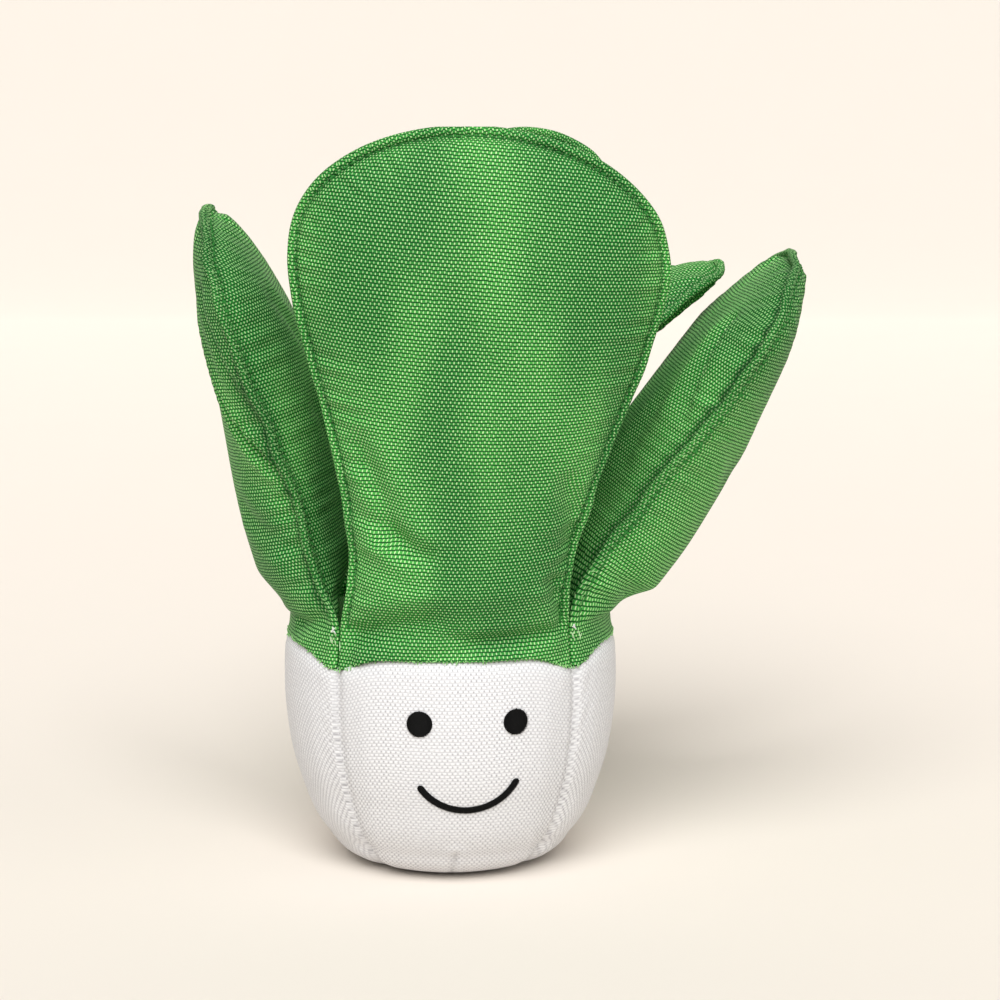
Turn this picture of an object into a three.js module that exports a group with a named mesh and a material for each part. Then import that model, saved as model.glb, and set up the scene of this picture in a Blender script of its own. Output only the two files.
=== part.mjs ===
// Stuffed cloth bok choy: a white padded bulb of four sewn gores, four padded leaves that grow out of a
// green collar, a fifth heart leaf in the middle, and a plain embroidered smile on the front gore.
import * as THREE from 'three';

// Driving dimensions, in millimetres and degrees. +Z is up, the smiling front faces -Y.
const CLOTH = 1.0;             // woven cloth with its coating
const GAP = 0.3;               // clearance between neighbouring pieces
const FILL_GAP = 0.4;          // clearance between cloth and the filling behind it
const GORE_TURN = 3;           // the four gores are turned this far about the bulb's axis
const GORE_HALF = 45;          // half the angle of one gore
const BULB_PROFILE = [[19, 0], [27, 2.6], [34.4, 9.5], [41.8, 25], [45.6, 45], [45.8, 58], [44.9, 71]];
const BOTTOM_JUNCTION = [0, 3];  // where the four gore seams meet under the bulb
const JUNCTION_HOLE = 0.09;    // share of each bottom seam left open round the junction
const BORDER_HEIGHT = 65;      // where the white cloth meets the green, in the middle of a gore
const BORDER_DIP = 4.6;        // how far that border drops at the gore seams
const BORDER_DIP_WIDTH = 0.26; // width of the drop, as a share of a gore
const CROTCH_HEIGHT = 71;      // where neighbouring leaves part
const TOP_PANEL_RADIUS = 43.4;
const RIM_WIDTH = 2.7;         // flat topstitched rim round each leaf
const RIM_HALF = 1.15;         // half the rim's thickness
const PUFF_RISE = 11;          // the padding rises over this distance inside the rim
const OUTER_SWELL = 16;        // the outer face swells over this height above the crotch
const INNER_SWELL = 18;
const INNER_START = 0.55;      // share of the inner swell already there at the crotch
const WADDING_SHARE = 0.55;    // the wadding is a slim layer between the two faces
const WADDING_INSET = 5;       // from the leaf's edge to the wadding's edge
const WADDING_FOOT = 9;        // from the crotch to the wadding's lower edge
const WADDING_TOP = 0.93;      // share of the leaf's length
const FACE_TURN = 6.3;         // the smile is centred this far to the right of the front
const EYE_SPACING = 26;
const EYE_RADIUS = 3.5;
const EYE_HEIGHT = 48.2;
const SMILE_HALF = 13;
const SMILE_DEPTH = 7.6;
const SMILE_HEIGHT = 30.2;     // height of the smile's two ends
const SMILE_STROKE = 1.8;
const EMBROIDERY = 0.8;        // thickness of the satin stitching

// A leaf's outline, as shares of its length: widest at SHOULDER, then an elliptical tip
const SHOULDER = 0.75;
const WAIST = 0.92;
const WAIST_RISE = 0.06;
const TIP_CUT = 84;            // the ellipse is followed up to this angle
const LEAF_ROWS = [0, 0.04, 0.09, 0.16, 0.25, 0.36, 0.48, 0.6, 0.7, 0.78, 0.86, 0.92, 0.96, 0.985];
const LEAF_COLUMNS = [-1, -0.92, -0.74, -0.42, 0, 0.42, 0.74, 0.92, 1];
const BASE_RADIUS = BULB_PROFILE.at(-1)[0] - RIM_HALF;
const SIDE_CUP = [[0, 1 / BASE_RADIUS], [0.3, 1 / 50], [0.5, 1 / 95], [0.75, 1 / 320], [1, 1 / 600]];
const FLAT_CUP = [[0, 1 / BASE_RADIUS], [0.25, 1 / 70], [0.6, 1 / 140], [1, 1 / 200]];
const FOOT = THREE.MathUtils.degToRad(GORE_HALF) * BASE_RADIUS - GAP;

// lean: the midrib's angle from upright; cup: the cross-section's curvature; puffs: padding of each face;
// drift: how far the midrib moves sideways; twist turns the leaf about its midrib; skew lowers one shoulder.
const UPRIGHT = [[0, 0], [1, 0]];
const LEAVES = {
  front: {
    azimuth: -90 + GORE_TURN, length: 137, wide: 50, twist: 0, skew: 0.09,
    drift: [[0, 0], [0.28, 3.4], [0.5, 5], [0.75, 5.8], [1, 5.2]],
    lean: [[0, 0], [0.12, 7], [0.35, 10], [0.7, 7], [1, 1]],
    cup: FLAT_CUP, outerPuff: [[0, 7], [1, 7]], innerPuff: [[0, 11], [1, 9]],
  },
  right: {
    azimuth: GORE_TURN, length: 114, wide: 43, twist: 0, skew: 0, drift: UPRIGHT,
    lean: [[0, 0], [0.1, 33], [0.3, 33], [0.6, 26], [0.85, 22], [1, 14]],
    cup: SIDE_CUP, outerPuff: [[0, 12], [0.4, 10], [1, 7]], innerPuff: [[0, 25], [0.4, 24], [1, 12]],
  },
  back: {
    azimuth: 90 + GORE_TURN, length: 135.5, wide: 38, twist: 26, skew: 0,
    drift: [[0, 0], [0.25, -1.5], [0.5, -9], [0.75, -19], [1, -27.5]],
    lean: [[0, 0], [0.15, 12], [0.4, 15], [0.7, 14], [1, 8]],
    cup: FLAT_CUP, outerPuff: [[0, 7], [1, 7]], innerPuff: [[0, 11], [1, 9]],
  },
  left: {
    azimuth: 180 + GORE_TURN, length: 116, wide: 43, twist: 0, skew: 0, drift: UPRIGHT,
    lean: [[0, 0], [0.12, 15], [0.3, 13], [0.7, 11], [1, 5]],
    cup: SIDE_CUP, outerPuff: [[0, 8], [1, 7]], innerPuff: [[0, 17], [0.25, 19], [0.5, 20], [1, 13]],
  },
};
const HEART_LEAF = {
  azimuth: 22, length: 128, wide: 21, twist: 0, skew: 0, drift: UPRIGHT, foot: 14, baseRadius: 6,
  lean: [[0, 0], [0.12, 17], [0.25, 26], [0.5, 40], [0.8, 57], [1, 66]],
  cup: [[0, 1 / 40], [0.3, 1 / 70], [0.7, 1 / 150], [1, 1 / 250]],
  outerPuff: [[0, 5], [1, 5]], innerPuff: [[0, 6], [1, 6]],
};

const greenCloth = new THREE.MeshStandardMaterial({ color: 0x4a9a46, roughness: 0.75, metalness: 0 });
const whiteCloth = new THREE.MeshStandardMaterial({ color: 0xe8eaee, roughness: 0.7, metalness: 0 });
const fibreFill = new THREE.MeshStandardMaterial({ color: 0xf4f2ec, roughness: 1, metalness: 0 });
const blackThread = new THREE.MeshStandardMaterial({ color: 0x1c1c20, roughness: 0.55, metalness: 0 });

const { clamp, degToRad, lerp } = THREE.MathUtils;

function smooth(x) {
  const t = clamp(x, 0, 1);
  return t * t * (3 - 2 * t);
}

// Cubic curve through [position, value] knots, with the slopes of a parabola through three neighbours
function curveThrough(knots) {
  const last = knots.length - 1;
  const chord = (i) => (knots[i + 1][1] - knots[i][1]) / (knots[i + 1][0] - knots[i][0]);
  const slopes = knots.map((_, i) => {
    if (i === 0) return chord(0);
    if (i === last) return chord(last - 1);
    const before = knots[i][0] - knots[i - 1][0];
    const after = knots[i + 1][0] - knots[i][0];
    return (chord(i) * before + chord(i - 1) * after) / (before + after);
  });
  return (x) => {
    let i = 0;
    while (i < last - 1 && x > knots[i + 1][0]) i += 1;
    const span = knots[i + 1][0] - knots[i][0];
    const t = clamp((x - knots[i][0]) / span, 0, 1);
    const rest = 1 - t;
    return rest * rest * (1 + 2 * t) * knots[i][1] + t * t * (3 - 2 * t) * knots[i + 1][1]
      + span * t * rest * (rest * slopes[i] - t * slopes[i + 1]);
  };
}

const bulbRadius = curveThrough(BULB_PROFILE.map(([radius, height]) => [height, radius]));

// Height of the white and green border, for a share of a gore: 0 in its middle and 1 at its seams
function borderHeight(share) {
  return BORDER_HEIGHT - BORDER_DIP * Math.exp(-(((1 - Math.abs(share)) / BORDER_DIP_WIDTH) ** 2));
}

// Closed sheet between two equal grids of points, split into triangles alike on both faces
function closedSheet(faceA, faceB) {
  const rows = faceA.length;
  const columns = faceA[0].length;
  const positions = [...faceA.flat(), ...faceB.flat()].flatMap((p) => [p.x, p.y, p.z]);
  const a = (row, column) => row * columns + column;
  const b = (row, column) => rows * columns + a(row, column);
  const triangles = [];
  const quad = (p, q, r, s) => triangles.push(p, q, r, p, r, s);
  for (let i = 0; i < rows - 1; i += 1) {
    for (let j = 0; j < columns - 1; j += 1) {
      quad(a(i, j), a(i, j + 1), a(i + 1, j + 1), a(i + 1, j));
      triangles.push(b(i, j), b(i + 1, j + 1), b(i, j + 1), b(i, j), b(i + 1, j), b(i + 1, j + 1));
    }
  }
  const loop = [];
  for (let j = 0; j < columns - 1; j += 1) loop.push([0, j]);
  for (let i = 0; i < rows - 1; i += 1) loop.push([i, columns - 1]);
  for (let j = columns - 1; j > 0; j -= 1) loop.push([rows - 1, j]);
  for (let i = rows - 1; i > 0; i -= 1) loop.push([i, 0]);
  loop.forEach(([i, j], n) => {
    const [k, l] = loop[(n + 1) % loop.length];
    quad(a(k, l), a(i, j), b(i, j), b(k, l));
  });
  return outwardGeometry(positions, triangles);
}

// Indexed geometry whose triangles are turned round if they enclose a negative volume
function outwardGeometry(positions, triangles) {
  const corner = (i) => new THREE.Vector3(...positions.slice(3 * i, 3 * i + 3));
  let volume = 0;
  for (let n = 0; n < triangles.length; n += 3) {
    const [p, q, r] = triangles.slice(n, n + 3).map(corner);
    volume += p.dot(q.cross(r));
  }
  const geometry = new THREE.BufferGeometry();
  geometry.setAttribute('position', new THREE.Float32BufferAttribute(positions, 3));
  geometry.setIndex(volume < 0 ? triangles.reverse() : triangles);
  geometry.computeVertexNormals();
  return geometry;
}

function namedMesh(name, geometry, material) {
  const mesh = new THREE.Mesh(geometry, material);
  mesh.name = name;
  return mesh;
}

// A leaf's surfaces, with its midrib in the XZ plane: across is the place along the cross-section's arc
// and along is the place up the midrib.
class LeafShape {
  constructor(leaf) {
    Object.assign(this, { foot: FOOT, baseRadius: BASE_RADIUS }, leaf);
    this.leanAt = curveThrough(this.lean);
    this.cupAt = curveThrough(this.cup);
    this.driftAt = curveThrough(this.drift);
    this.puffAt = { outer: curveThrough(this.outerPuff), inner: curveThrough(this.innerPuff) };
    this.midrib = this.traceMidrib(120);
    const tip = SHOULDER + (1 - SHOULDER) * Math.sin(degToRad(TIP_CUT));
    this.rows = [...LEAF_ROWS, tip];
    this.edge = this.traceEdge(160);
  }

  traceMidrib(steps) {
    const points = [{ radius: this.baseRadius, height: CROTCH_HEIGHT }];
    const step = this.length / steps;
    for (let i = 0; i < steps; i += 1) {
      const lean = degToRad(this.leanAt((i + 0.5) / steps));
      const { radius, height } = points[i];
      points.push({ radius: radius + step * Math.sin(lean), height: height + step * Math.cos(lean) });
    }
    return points;
  }

  traceEdge(steps) {
    return Array.from({ length: steps + 1 }, (_, i) => {
      const share = i / steps;
      return { across: this.halfWidth(share), along: share * this.length };
    });
  }

  halfWidth(share) {
    if (share >= SHOULDER) {
      const rise = (share - SHOULDER) / (1 - SHOULDER);
      return this.wide * Math.sqrt(Math.max(0, 1 - rise * rise));
    }
    const waist = WAIST * this.foot;
    const low = waist + (this.foot - waist) * Math.exp(-((share / WAIST_RISE) ** 2));
    return low + (this.wide - low) * smooth((share / SHOULDER) ** 1.25);
  }

  edgeDistance(across, along) {
    const far = (point) => Math.hypot(Math.abs(across) - point.across, along - point.along);
    return Math.min(...this.edge.map(far));
  }

  // Point on the leaf's middle surface, with the surface's direction away from the bulb's axis
  middle(across, along) {
    const lowered = along - this.skew * across * smooth(along / this.length);
    const share = lowered / this.length;
    const place = share * (this.midrib.length - 1);
    const i = Math.min(Math.floor(place), this.midrib.length - 2);
    const radius = lerp(this.midrib[i].radius, this.midrib[i + 1].radius, place - i);
    const height = lerp(this.midrib[i].height, this.midrib[i + 1].height, place - i);
    const lean = degToRad(this.leanAt(share));
    const cup = this.cupAt(share);
    const turn = degToRad(this.twist) * smooth(share);
    const sideways = Math.sin(cup * across) / cup;
    const sag = (1 - Math.cos(cup * across)) / cup;
    const turnedSideways = sideways * Math.cos(turn) - sag * Math.sin(turn);
    const turnedSag = sideways * Math.sin(turn) + sag * Math.cos(turn);
    const outward = new THREE.Vector3(Math.cos(lean), 0, -Math.sin(lean));
    const point = new THREE.Vector3(radius, turnedSideways + this.driftAt(share), height);
    point.addScaledVector(outward, -turnedSag);
    const angle = cup * across + turn;
    const normal = outward.multiplyScalar(Math.cos(angle));
    normal.y += Math.sin(angle);
    return { point, normal };
  }

  // Distance from the middle surface to the outer or inner face
  faceHeight(across, along, side) {
    const inside = Math.max(this.edgeDistance(across, along) - RIM_WIDTH, 0);
    const outerSwell = smooth(along / OUTER_SWELL);
    const innerSwell = lerp(INNER_START, 1, smooth(along / INNER_SWELL));
    const puff = this.puffAt[side](along / this.length) - RIM_HALF;
    const swell = side === 'outer' ? outerSwell : innerSwell;
    return RIM_HALF + puff * (1 - Math.exp(-inside / PUFF_RISE)) * swell;
  }

  offsetPoint(across, along, distance) {
    const { point, normal } = this.middle(across, along);
    return point.addScaledVector(normal, distance);
  }

  clothGrids(side) {
    const sign = side === 'outer' ? 1 : -1;
    const grid = (inset) => this.rows.map((share) => LEAF_COLUMNS.map((column) => {
      const across = column * this.halfWidth(share);
      const along = share * this.length;
      return this.offsetPoint(across, along, sign * (this.faceHeight(across, along, side) - inset));
    }));
    return { shown: grid(0), hidden: grid(CLOTH) };
  }

  waddingGeometry() {
    const rows = this.rows.map((share) => lerp(WADDING_FOOT / this.length, WADDING_TOP, share));
    const grid = (side, sign) => rows.map((share) => LEAF_COLUMNS.map((column) => {
      const across = column * (this.halfWidth(share) - WADDING_INSET);
      const along = share * this.length;
      const room = this.faceHeight(across, along, side) - CLOTH - FILL_GAP;
      return this.offsetPoint(across, along, sign * WADDING_SHARE * Math.max(room, GAP));
    }));
    return closedSheet(grid('outer', 1), grid('inner', -1));
  }
}

// Green collar below the crotch: it follows the bulb from the border up to the leaf's first row
function collarGrid(inset) {
  const rowShares = [0, 0.5];
  return rowShares.map((rowShare) => LEAF_COLUMNS.map((column) => {
    const angle = (column * FOOT) / BASE_RADIUS;
    const height = lerp(borderHeight(column) + GAP, CROTCH_HEIGHT, rowShare);
    const radius = bulbRadius(height) - inset;
    return new THREE.Vector3(radius * Math.cos(angle), radius * Math.sin(angle), height);
  }));
}

function leafGroup(name, leaf, hasCollar) {
  const shape = new LeafShape(leaf);
  const outer = shape.clothGrids('outer');
  const inner = shape.clothGrids('inner');
  const shown = hasCollar ? [...collarGrid(0), ...outer.shown] : outer.shown;
  const hidden = hasCollar ? [...collarGrid(CLOTH), ...outer.hidden] : outer.hidden;
  const group = new THREE.Group();
  group.add(namedMesh(`${name}_outer`, closedSheet(shown, hidden), greenCloth));
  group.add(namedMesh(`${name}_inner`, closedSheet(inner.shown, inner.hidden), greenCloth));
  group.add(namedMesh(`${name}_wadding`, shape.waddingGeometry(), fibreFill));
  group.rotation.z = degToRad(leaf.azimuth);
  return group;
}

// The bulb's section from the flat bottom up: places with a radius, a height and the outward direction
const BOTTOM_SHARES = [JUNCTION_HOLE, 0.35, 0.7];
const WALL_SHARES = [0, 0.04, 0.09, 0.16, 0.25, 0.37, 0.5, 0.64, 0.78, 0.9, 1];

function bulbSection(height) {
  const reach = 0.4;
  const low = Math.max(height - reach, 0);
  const slope = (bulbRadius(height + reach) - bulbRadius(low)) / (height + reach - low);
  const outward = new THREE.Vector2(1, -slope).normalize();
  return { radius: bulbRadius(height), outward };
}

function gorePoint(column, place, apex, inset) {
  const angle = degToRad(GORE_HALF) * column;
  const flatRadius = BULB_PROFILE[0][0];
  const point = new THREE.Vector3();
  if (place.bottom !== undefined) {
    const rim = new THREE.Vector2(Math.cos(angle), Math.sin(angle)).multiplyScalar(flatRadius);
    const flat = apex.clone().lerp(rim, place.bottom);
    point.set(flat.x, flat.y, inset);
  } else {
    const height = place.wall * (borderHeight(column) - GAP);
    const { radius, outward } = bulbSection(height);
    const foot = 1 - smooth(place.wall / WALL_SHARES[2]);
    const sink = inset * lerp(outward.x, 0.4, foot);
    const lift = inset * lerp(-outward.y, 1, foot);
    point.set((radius - sink) * Math.cos(angle), (radius - sink) * Math.sin(angle), height + lift);
  }
  point.y -= Math.sign(column) * Math.abs(column) ** 3 * GAP;
  return point;
}

function bulbPanel(name, azimuth) {
  const apex = new THREE.Vector2(...BOTTOM_JUNCTION).rotateAround(new THREE.Vector2(), -degToRad(azimuth));
  const places = [
    ...BOTTOM_SHARES.map((bottom) => ({ bottom })),
    ...WALL_SHARES.map((wall) => ({ wall })),
  ];
  const grid = (inset) => places.map((place) => (
    LEAF_COLUMNS.map((column) => gorePoint(column, place, apex, inset))
  ));
  const panel = namedMesh(name, closedSheet(grid(0), grid(CLOTH)), whiteCloth);
  panel.rotation.z = degToRad(azimuth);
  return panel;
}

// Round panel that closes the bulb below the leaves
function topPanel() {
  const geometry = new THREE.CylinderGeometry(TOP_PANEL_RADIUS, TOP_PANEL_RADIUS, CLOTH, 32);
  geometry.rotateX(Math.PI / 2);
  const panel = namedMesh('bulb_top_panel', geometry, greenCloth);
  panel.position.z = CROTCH_HEIGHT - FILL_GAP - CLOTH / 2;
  panel.rotation.z = degToRad(GORE_TURN);
  return panel;
}

function bulbStuffing() {
  const inset = CLOTH + FILL_GAP;
  const top = CROTCH_HEIGHT - 2 * FILL_GAP - CLOTH;
  const steps = 9;
  const profile = [new THREE.Vector2(0, inset)];
  for (let i = 0; i <= steps; i += 1) {
    const height = lerp(inset, top, (i / steps) ** 1.4);
    profile.push(new THREE.Vector2(bulbRadius(Math.max(height - inset, 0)) - 2 * inset, height));
  }
  profile.push(new THREE.Vector2(0, top));
  const geometry = new THREE.LatheGeometry(profile, 32);
  geometry.rotateX(Math.PI / 2);
  const stuffing = namedMesh('bulb_stuffing', geometry, fibreFill);
  stuffing.rotation.z = degToRad(GORE_TURN);
  return stuffing;
}

// Embroidery lies on the front gore: sideways is measured round the bulb from the middle of the smile
function facePoint(sideways, height, lift) {
  const radius = bulbRadius(height) + GAP + lift;
  const angle = degToRad(FACE_TURN - 90) + sideways / bulbRadius(height);
  return new THREE.Vector3(radius * Math.cos(angle), radius * Math.sin(angle), height);
}

function eye(name, sideways) {
  const rings = [0.12, 0.55, 1];
  const sectors = 14;
  const grid = (lift) => rings.map((ring) => Array.from({ length: sectors }, (_, i) => {
    const angle = (2 * Math.PI * i) / sectors;
    const reach = EYE_RADIUS * ring;
    return facePoint(sideways + reach * Math.cos(angle), EYE_HEIGHT + reach * Math.sin(angle), lift);
  }));
  return namedMesh(name, closedDisc(grid(0), grid(EMBROIDERY)), blackThread);
}

// Closed round pad between two grids of rings
function closedDisc(under, over) {
  const rings = under.length;
  const sectors = under[0].length;
  const positions = [...under.flat(), ...over.flat()].flatMap((p) => [p.x, p.y, p.z]);
  const index = (layer, ring, sector) => (layer * rings + ring) * sectors + (sector % sectors);
  const triangles = [];
  const quad = (p, q, r, s) => triangles.push(p, q, r, p, r, s);
  for (let j = 0; j < sectors; j += 1) {
    for (let i = 0; i < rings - 1; i += 1) {
      quad(index(0, i, j), index(0, i, j + 1), index(0, i + 1, j + 1), index(0, i + 1, j));
      quad(index(1, i, j), index(1, i + 1, j), index(1, i + 1, j + 1), index(1, i, j + 1));
    }
    quad(index(0, rings - 1, j), index(0, rings - 1, j + 1), index(1, rings - 1, j + 1), index(1, rings - 1, j));
    if (j > 0 && j < sectors - 1) {
      triangles.push(index(0, 0, 0), index(0, 0, j + 1), index(0, 0, j));
      triangles.push(index(1, 0, 0), index(1, 0, j), index(1, 0, j + 1));
    }
  }
  return outwardGeometry(positions, triangles);
}

function smile() {
  const arcRadius = (SMILE_HALF ** 2 + SMILE_DEPTH ** 2) / (2 * SMILE_DEPTH);
  const halfAngle = Math.asin(SMILE_HALF / arcRadius);
  const steps = 16;
  const edges = [-0.5, 0, 0.5];
  const centre = SMILE_HEIGHT + arcRadius * Math.cos(halfAngle);
  const grid = (lift) => Array.from({ length: steps + 1 }, (_, i) => edges.map((edge) => {
    const angle = lerp(-halfAngle, halfAngle, i / steps);
    const reach = arcRadius + edge * SMILE_STROKE;
    return facePoint(reach * Math.sin(angle), centre - reach * Math.cos(angle), lift);
  }));
  return namedMesh('smile', closedSheet(grid(0), grid(EMBROIDERY)), blackThread);
}

const bokChoy = new THREE.Group();
for (const [side, leaf] of Object.entries(LEAVES)) {
  bokChoy.add(bulbPanel(`bulb_panel_${side}`, leaf.azimuth));
  bokChoy.add(leafGroup(`leaf_${side}`, leaf, true));
}
bokChoy.add(leafGroup('heart_leaf', HEART_LEAF, false));
bokChoy.add(topPanel(), bulbStuffing());
bokChoy.add(eye('eye_left', -EYE_SPACING / 2), eye('eye_right', EYE_SPACING / 2), smile());

export default bokChoy;
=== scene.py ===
"""A stuffed cloth bok choy: padded green leaves with topstitched rims round a white bulb."""

import math

import bmesh
import bpy
import numpy as np
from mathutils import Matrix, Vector


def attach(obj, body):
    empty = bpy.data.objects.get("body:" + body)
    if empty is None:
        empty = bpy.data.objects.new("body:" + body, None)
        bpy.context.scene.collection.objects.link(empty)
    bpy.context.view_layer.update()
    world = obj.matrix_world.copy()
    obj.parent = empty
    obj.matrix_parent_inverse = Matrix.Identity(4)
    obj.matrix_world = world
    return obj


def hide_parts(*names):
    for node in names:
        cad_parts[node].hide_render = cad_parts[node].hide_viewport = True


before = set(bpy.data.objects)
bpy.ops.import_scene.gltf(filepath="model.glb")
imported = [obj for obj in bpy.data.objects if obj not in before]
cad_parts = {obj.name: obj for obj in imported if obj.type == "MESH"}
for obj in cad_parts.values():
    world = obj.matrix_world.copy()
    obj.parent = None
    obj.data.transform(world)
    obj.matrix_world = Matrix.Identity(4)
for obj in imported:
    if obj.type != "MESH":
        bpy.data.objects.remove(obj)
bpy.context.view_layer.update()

# Sizes in millimetres and degrees, as in the solids. Finished meshes are in metres.
MM = 0.001
GORE_TURN = 3.0
GORE_HALF = 45.0
BULB_PROFILE = [(19, 0), (27, 2.6), (34.4, 9.5), (41.8, 25), (45.6, 45), (45.8, 58), (44.9, 71)]
BOTTOM_JUNCTION = (0.0, 3.0)
BORDER_HEIGHT = 65.0
BORDER_DIP = 4.6
BORDER_DIP_WIDTH = 0.26
CROTCH_HEIGHT = 71.0
RIM_WIDTH = 2.7
RIM_HALF = 1.15
RIM_ROUND = 1.3
CROTCH_ROUND = 3.0
PUFF_RISE = 11.0
PUFF_START = {"outer": 0.0, "inner": 0.55}      # share of a face's puff at the crotch
PUFF_LENGTH = {"outer": 16.0, "inner": 18.0}    # from the crotch to a face's full puff
SHOULDER = 0.75
WAIST = 0.92
WAIST_RISE = 0.06
SPINE_TOP = 0.72
BASE_RADIUS = BULB_PROFILE[-1][0] - RIM_HALF
FOOT = math.radians(GORE_HALF) * BASE_RADIUS - 0.3
CLOTH = 1.0
HEM_LIFT = 0.35

FACE_TURN = 6.9
EYE_SPACING = 26.0
EYE_RADIUS = 3.6
EYE_HEIGHT = 48.2
SMILE_HALF = 13.0
SMILE_DEPTH = 7.2
SMILE_HEIGHT = 30.6
SMILE_STROKE = 2.0
SMILE_LIFT = 0.09    # radians that the right end runs on up the smile's arc

STITCH_PITCH = 2.4
STITCH_LENGTH = 1.95
STITCH_RADIUS = 0.3
STITCH_START = 2.0
OVERLOCK_PITCH = 1.3
OVERLOCK_SLANT = 0.7
OVERLOCK_RADIUS = 0.2
OVERLOCK_REACH = (0.5, 2.2)
OVERLOCK_START = 6      # rows of the leaf left free at each end
SATIN_PITCH = 0.3
SATIN_RADIUS = 0.2
SATIN_LIFT = 0.32
GROUND_DEPTH = 0.5

CREASE_RIDGE = 0.35
CREASE_TAPER = 0.3

# Pitch of the weave's rows across a leaf and of the threads along it
WEFT_PITCH = 0.94
WARP_PITCH = 0.55
WHITE_WARP_PITCH = 0.7
UV_UNIT = 100.0

SIDE_CUP = [(0, 1 / BASE_RADIUS), (0.3, 1 / 50), (0.5, 1 / 95), (0.75, 1 / 320), (1, 1 / 600)]
FLAT_CUP = [(0, 1 / BASE_RADIUS), (0.25, 1 / 70), (0.6, 1 / 140), (1, 1 / 200)]

# A crease runs between two places (across, along) on a face, with its half width, depth and lap. Bend turns
# the rim about its stitch line, at the edges with negative and positive across.
LEAVES = {
    "leaf_front": dict(
        azimuth=-90 + GORE_TURN, length=137, wide=50.6, skew=0.1,
        drift=[(0, 0), (0.28, 3.4), (0.5, 5.0), (0.75, 6.2), (1, 9.4)],
        lean=[(0, 0), (0.12, 7), (0.35, 10), (0.7, 7), (1, 1)], cup=FLAT_CUP,
        outer_puff=[(0, 7), (1, 7)], inner_puff=[(0, 11), (1, 9)],
        creases=[
            ("outer", (-30, 54), (-15, 25), 3.0, 2.5),
            ("outer", (-32, 36), (-8, 24), 2.6, 1.6),
            ("outer", (24, 46), (31, 22), 3.0, 2.3),
            ("outer", (-36, -1), (-4, 7), 3.2, 2.8),
            ("outer", (35, -2), (23, 17), 2.4, 2.6),
            ("outer", (3, -2), (33, 2), 2.4, 1.6),
            ("outer", (-8, 96), (3, 70), 5.0, 0.7),
        ],
    ),
    "leaf_right": dict(
        azimuth=GORE_TURN, length=114, wide=43, bend=(-72, -15),
        lean=[(0, 0), (0.1, 33), (0.3, 33), (0.6, 26), (0.85, 24), (1, 26)], cup=SIDE_CUP,
        outer_puff=[(0, 12), (0.4, 9.5), (1, 5)], inner_puff=[(0, 25), (0.4, 24), (0.7, 16), (1, 6)],
        creases=[
            ("inner", (-22, 90), (-31, 58), 2.2, 2.4),
            ("inner", (-20, 62), (-22, 36), 3.0, 1.2),
            ("outer", (-30, 18), (-12, 8), 3.0, 1.6),
            ("outer", (-28, 60), (-10, 48), 3.5, 1.0),
            ("outer", (10, 30), (26, 14), 3.0, 1.3),
        ],
    ),
    "leaf_back": dict(
        azimuth=90 + GORE_TURN, length=135.5, wide=38, twist=26,
        drift=[(0, 0), (0.25, -1.5), (0.5, -9), (0.75, -19), (1, -27.5)],
        lean=[(0, 0), (0.15, 12), (0.4, 15), (0.7, 14), (1, 8)], cup=FLAT_CUP,
        outer_puff=[(0, 7), (1, 7)], inner_puff=[(0, 11), (1, 9)],
        creases=[
            ("outer", (24, 46), (14, 26), 3.2, 1.5),
            ("outer", (-25, 40), (-12, 22), 3.0, 1.3),
            ("outer", (-30, 2), (-14, -2), 2.4, 1.5),
            ("outer", (12, -2), (30, 3), 2.4, 1.5),
        ],
    ),
    "leaf_left": dict(
        azimuth=180 + GORE_TURN, length=116, wide=43, bend=(15, 72),
        lean=[(0, 0), (0.12, 15), (0.3, 13), (0.7, 11), (1, 5)], cup=SIDE_CUP,
        outer_puff=[(0, 8), (0.3, 7.5), (0.55, 5.8), (1, 6.5)],
        inner_puff=[(0, 19), (0.25, 22), (0.5, 21.5), (0.8, 15.5), (1, 12)],
        creases=[
            ("outer", (11, 86), (34.5, 36), 1.7, 3.2, 1.2),
            ("outer", (28, 96), (34, 58), 2.0, 1.3, 0.8),
            ("outer", (30, 36), (24, 14), 2.6, 1.2),
            ("outer", (26, 20), (10, 34), 3.0, 1.4),
            ("outer", (31, 3), (14, -1), 2.6, 1.5),
            ("inner", (22, 60), (10, 40), 3.2, 1.2),
            ("inner", (26, 90), (12, 74), 3.0, 0.9),
        ],
    ),
    "heart_leaf": dict(
        azimuth=22, length=128, wide=21, foot=14, base=6, bend=(-25, 20),
        lean=[(0, 0), (0.12, 17), (0.25, 26), (0.5, 40), (0.8, 57), (1, 66)],
        cup=[(0, 1 / 40), (0.3, 1 / 70), (0.7, 1 / 150), (1, 1 / 250)],
        outer_puff=[(0, 5), (0.6, 4), (1, 2.5)], inner_puff=[(0, 6), (1, 5.5)],
        creases=[("inner", (-8, 40), (6, 58), 3.0, 1.0), ("outer", (-10, 60), (6, 46), 3.0, 1.0)],
    ),
}


def smooth(x):
    x = np.clip(x, 0, 1)
    return x * x * (3 - 2 * x)


def lerp(a, b, share):
    return a + (b - a) * share


def hump(x, centre, width):
    """Bell-shaped swell of unit height."""
    return np.exp(-(((x - centre) / width) ** 2))


def curve_through(knots):
    """Cubic curve through (position, value) knots, sloped as a parabola through three neighbours."""
    xs, ys = (np.array(column, float) for column in zip(*knots))
    slopes = np.gradient(ys, xs)

    def at(x):
        i = np.clip(np.searchsorted(xs, x) - 1, 0, len(xs) - 2)
        span = xs[i + 1] - xs[i]
        t = np.clip((x - xs[i]) / span, 0, 1)
        rest = 1 - t
        ends = rest * rest * (1 + 2 * t) * ys[i] + t * t * (3 - 2 * t) * ys[i + 1]
        return ends + span * t * rest * (rest * slopes[i] - t * slopes[i + 1])

    return at


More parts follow.
